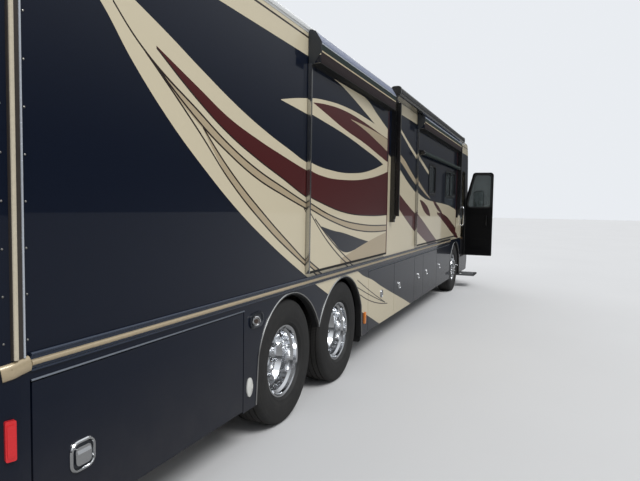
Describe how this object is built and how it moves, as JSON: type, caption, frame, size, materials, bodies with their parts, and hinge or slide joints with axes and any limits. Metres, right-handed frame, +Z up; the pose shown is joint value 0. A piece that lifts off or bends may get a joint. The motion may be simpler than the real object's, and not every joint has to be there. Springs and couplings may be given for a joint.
{
  "type": "tag-axle motorhome coach with slide-outs",
  "caption": "Long bus-style motorhome on a tag-axle chassis, with slide-out rooms, baggage doors, an open entry door and steered front wheels.",
  "frame": {"origin": "on the ground, on the centre line, 6.65 m ahead of the body's rear corners", "axes": "+X forward, +Y to the left, +Z up"},
  "size_m": [13.2692, 3.605, 3.8299],
  "materials": {
    "body_paint": "gloss",
    "frame_black": "satin",
    "tyre": "matte",
    "polished_aluminium": "polished",
    "glass_dark": "gloss",
    "glass_clear": "gloss",
    "lamp": "gloss",
    "chrome": "polished",
    "floor_board": "satin",
    "lining": "matte",
    "leather": "satin",
    "roof_white": "satin",
    "cast_iron": "matte",
    "awning_metal": "satin",
    "step_grey": "satin"
  },
  "bodies": {
    "coach": {"chassis_frame": "frame_black", "front_axle": "frame_black", "rear_axles": "frame_black", "engine_block": "cast_iron", "floor": "floor_board", "step_well": "floor_board", "basement": "frame_black", "wall_right": "body_paint", "wall_left": "body_paint", "roof": "roof_white", "front_cap": "body_paint", "rear_cap": "body_paint", "windshield": "glass_clear", "side_glass": "glass_dark", "skirt_right": "body_paint", "skirt_left": "body_paint", "lamps": "lamp", "mirrors": "body_paint", "dashboard": "lining", "cab_seats": "leather", "roof_equipment": "roof_white", "awnings": "awning_metal", "grab_handle": "chrome"},
    "steering_right": {"knuckle_right": "cast_iron"},
    "steering_left": {"knuckle_left": "cast_iron"},
    "front_right": {"tyre_front_right": "tyre", "wheel_front_right": "polished_aluminium"},
    "front_left": {"tyre_front_left": "tyre", "wheel_front_left": "polished_aluminium"},
    "drive_right": {"tyre_drive_right": "tyre", "wheel_drive_right": "polished_aluminium"},
    "drive_left": {"tyre_drive_left": "tyre", "wheel_drive_left": "polished_aluminium"},
    "tag_right": {"tyre_tag_right": "tyre", "wheel_tag_right": "polished_aluminium"},
    "tag_left": {"tyre_tag_left": "tyre", "wheel_tag_left": "polished_aluminium"},
    "door": {"entry_door": "body_paint", "entry_door_glass": "glass_clear"},
    "step": {"entry_step": "step_grey"},
    "bay_right_1": {"bay_door_right_1": "body_paint"},
    "bay_right_2": {"bay_door_right_2": "body_paint"},
    "bay_right_3": {"bay_door_right_3": "body_paint"},
    "bay_right_4": {"bay_door_right_4": "body_paint"},
    "bay_right_5": {"bay_door_right_5": "body_paint"},
    "bay_right_6": {"bay_door_right_6": "body_paint"},
    "bay_left_1": {"bay_door_left_1": "body_paint"},
    "bay_left_2": {"bay_door_left_2": "body_paint"},
    "bay_left_3": {"bay_door_left_3": "body_paint"},
    "bay_left_4": {"bay_door_left_4": "body_paint"},
    "hatch": {"rear_hatch": "body_paint"},
    "slide_1": {"slide_rear_right": "body_paint"},
    "slide_2": {"slide_front_right": "body_paint", "slide_front_right_glass": "glass_dark"},
    "slide_3": {"slide_left": "body_paint", "slide_left_glass": "glass_dark"}
  },
  "joints": [
    {"name": "steer_right", "type": "hinge", "parent": "coach", "child": "steering_right", "pos_m": [4.4, -1.035, 0.52], "axis": [0, 0, 1], "range_deg": [-42, 42]},
    {"name": "steer_left", "type": "hinge", "parent": "coach", "child": "steering_left", "pos_m": [4.4, 1.035, 0.52], "axis": [0, 0, 1], "range_deg": [-42, 42]},
    {"name": "roll_front_right", "type": "hinge", "parent": "steering_right", "child": "front_right", "pos_m": [4.4, -1.115, 0.52], "axis": [0, 1, 0], "continuous": true},
    {"name": "roll_front_left", "type": "hinge", "parent": "steering_left", "child": "front_left", "pos_m": [4.4, 1.115, 0.52], "axis": [0, 1, 0], "continuous": true},
    {"name": "roll_drive_right", "type": "hinge", "parent": "coach", "child": "drive_right", "pos_m": [-2.71, -1.115, 0.52], "axis": [0, 1, 0], "continuous": true},
    {"name": "roll_drive_left", "type": "hinge", "parent": "coach", "child": "drive_left", "pos_m": [-2.71, 1.115, 0.52], "axis": [0, 1, 0], "continuous": true},
    {"name": "roll_tag_right", "type": "hinge", "parent": "coach", "child": "tag_right", "pos_m": [-3.98, -1.115, 0.52], "axis": [0, 1, 0], "continuous": true},
    {"name": "roll_tag_left", "type": "hinge", "parent": "coach", "child": "tag_left", "pos_m": [-3.98, 1.115, 0.52], "axis": [0, 1, 0], "continuous": true},
    {"name": "door_swing", "type": "hinge", "parent": "coach", "child": "door", "pos_m": [5.75, -1.2905, 1.69], "axis": [0, 0, 1], "range_deg": [-90, 0]},
    {"name": "step_slide", "type": "slide", "parent": "coach", "child": "step", "axis": [0, -1, 0], "range_m": [-0.3, 0]},
    {"name": "bay_right_1_swing", "type": "hinge", "parent": "coach", "child": "bay_right_1", "pos_m": [-4.728, -1.2845, 0.685], "axis": [0, 0, 1], "range_deg": [0, 90]},
    {"name": "bay_right_2_swing", "type": "hinge", "parent": "coach", "child": "bay_right_2", "pos_m": [-0.688, -1.2845, 0.685], "axis": [0, 0, 1], "range_deg": [0, 90]},
    {"name": "bay_right_3_swing", "type": "hinge", "parent": "coach", "child": "bay_right_3", "pos_m": [0.512, -1.2845, 0.685], "axis": [0, 0, 1], "range_deg": [0, 90]},
    {"name": "bay_right_4_swing", "type": "hinge", "parent": "coach", "child": "bay_right_4", "pos_m": [1.147, -1.2845, 0.685], "axis": [0, 0, 1], "range_deg": [0, 90]},
    {"name": "bay_right_5_swing", "type": "hinge", "parent": "coach", "child": "bay_right_5", "pos_m": [2.312, -1.2845, 0.685], "axis": [0, 0, 1], "range_deg": [0, 90]},
    {"name": "bay_right_6_swing", "type": "hinge", "parent": "coach", "child": "bay_right_6", "pos_m": [3.702, -1.2845, 0.685], "axis": [0, 0, 1], "range_deg": [0, 90]},
    {"name": "bay_left_1_swing", "type": "hinge", "parent": "coach", "child": "bay_left_1", "pos_m": [-0.688, 1.2845, 0.685], "axis": [0, 0, -1], "range_deg": [0, 90]},
    {"name": "bay_left_2_swing", "type": "hinge", "parent": "coach", "child": "bay_left_2", "pos_m": [0.512, 1.2845, 0.685], "axis": [0, 0, -1], "range_deg": [0, 90]},
    {"name": "bay_left_3_swing", "type": "hinge", "parent": "coach", "child": "bay_left_3", "pos_m": [2.102, 1.2845, 0.685], "axis": [0, 0, -1], "range_deg": [0, 90]},
    {"name": "bay_left_4_swing", "type": "hinge", "parent": "coach", "child": "bay_left_4", "pos_m": [3.702, 1.2845, 0.685], "axis": [0, 0, -1], "range_deg": [0, 90]},
    {"name": "hatch_lift", "type": "hinge", "parent": "coach", "child": "hatch", "pos_m": [-6.682, 0, 1.384], "axis": [0, 1, 0], "range_deg": [0, 75]},
    {"name": "slide_rear_right_out", "type": "slide", "parent": "coach", "child": "slide_1", "axis": [0, -1, 0], "range_m": [0, 0.5]},
    {"name": "slide_front_right_out", "type": "slide", "parent": "coach", "child": "slide_2", "axis": [0, -1, 0], "range_m": [0, 0.5]},
    {"name": "slide_left_out", "type": "slide", "parent": "coach", "child": "slide_3", "axis": [0, 1, 0], "range_m": [0, 0.6]}
  ],
  "couplings": [
    {"joint": "steer_left", "follows": "steer_right", "ratio": 1}
  ]
}
